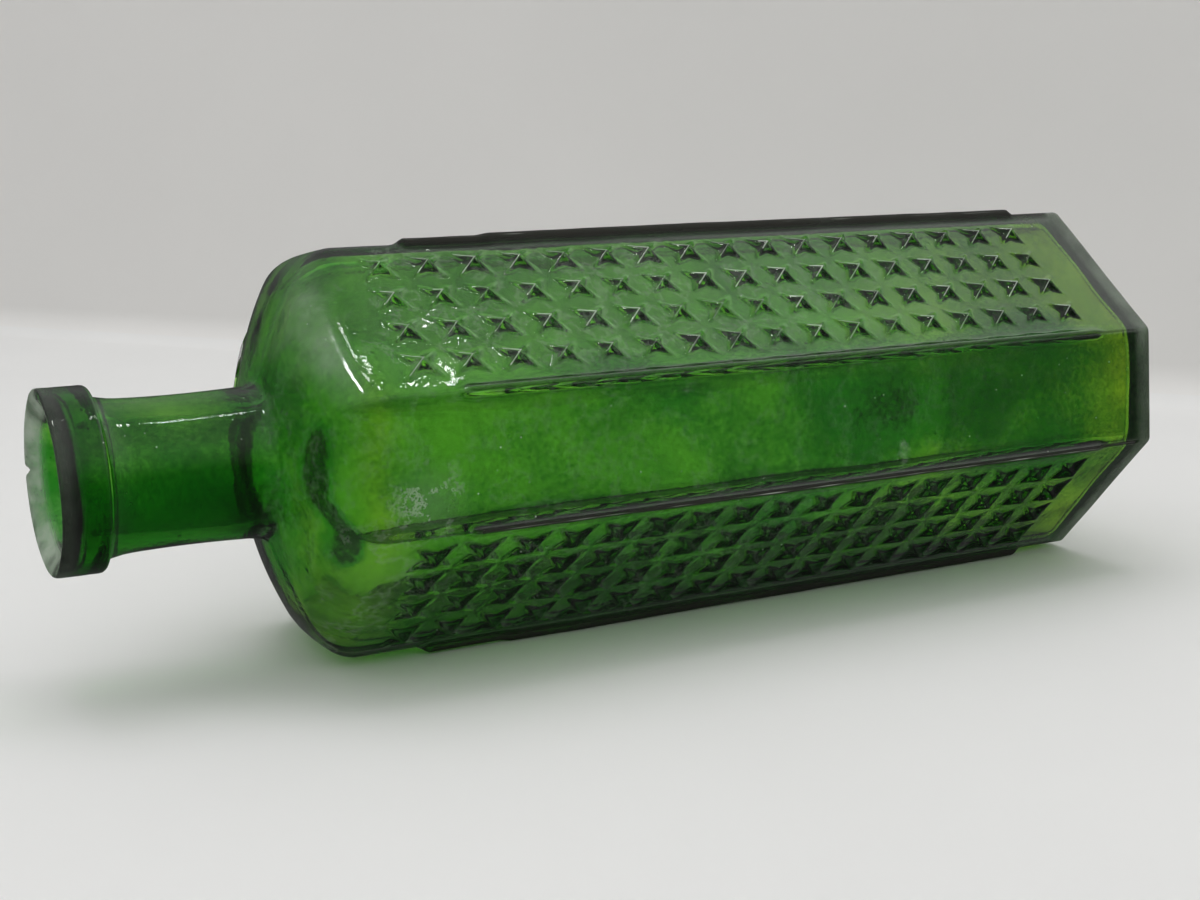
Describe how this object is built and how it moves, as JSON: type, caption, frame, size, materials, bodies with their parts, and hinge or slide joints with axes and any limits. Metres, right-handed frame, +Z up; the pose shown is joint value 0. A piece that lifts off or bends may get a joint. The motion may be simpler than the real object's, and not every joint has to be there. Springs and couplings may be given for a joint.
{
  "type": "glass bottle",
  "caption": "Six-sided green glass bottle with a flat back, domed shoulder, round neck with a lip ring, ribbed corners and diamond-point panels, lying on its side.",
  "frame": {"origin": "middle of the overall box, on the ground that the bottle lies on", "axes": "+X along the bottle from the mouth to the base, -Y towards the narrow front panel, +Z up"},
  "size_m": [0.19, 0.0602, 0.066],
  "materials": {
    "green_glass": "clear, glossy, slightly wavy"
  },
  "bodies": {
    "root": {"lip_ring": "green_glass", "neck": "green_glass", "shoulder": "green_glass", "body_shell": "green_glass", "base": "green_glass", "corner_rib_1": "green_glass", "corner_rib_2": "green_glass", "corner_rib_3": "green_glass", "corner_rib_4": "green_glass", "corner_rib_5": "green_glass", "corner_rib_6": "green_glass", "point_panel_upper": "green_glass", "point_panel_lower": "green_glass"}
  },
  "joints": []
}
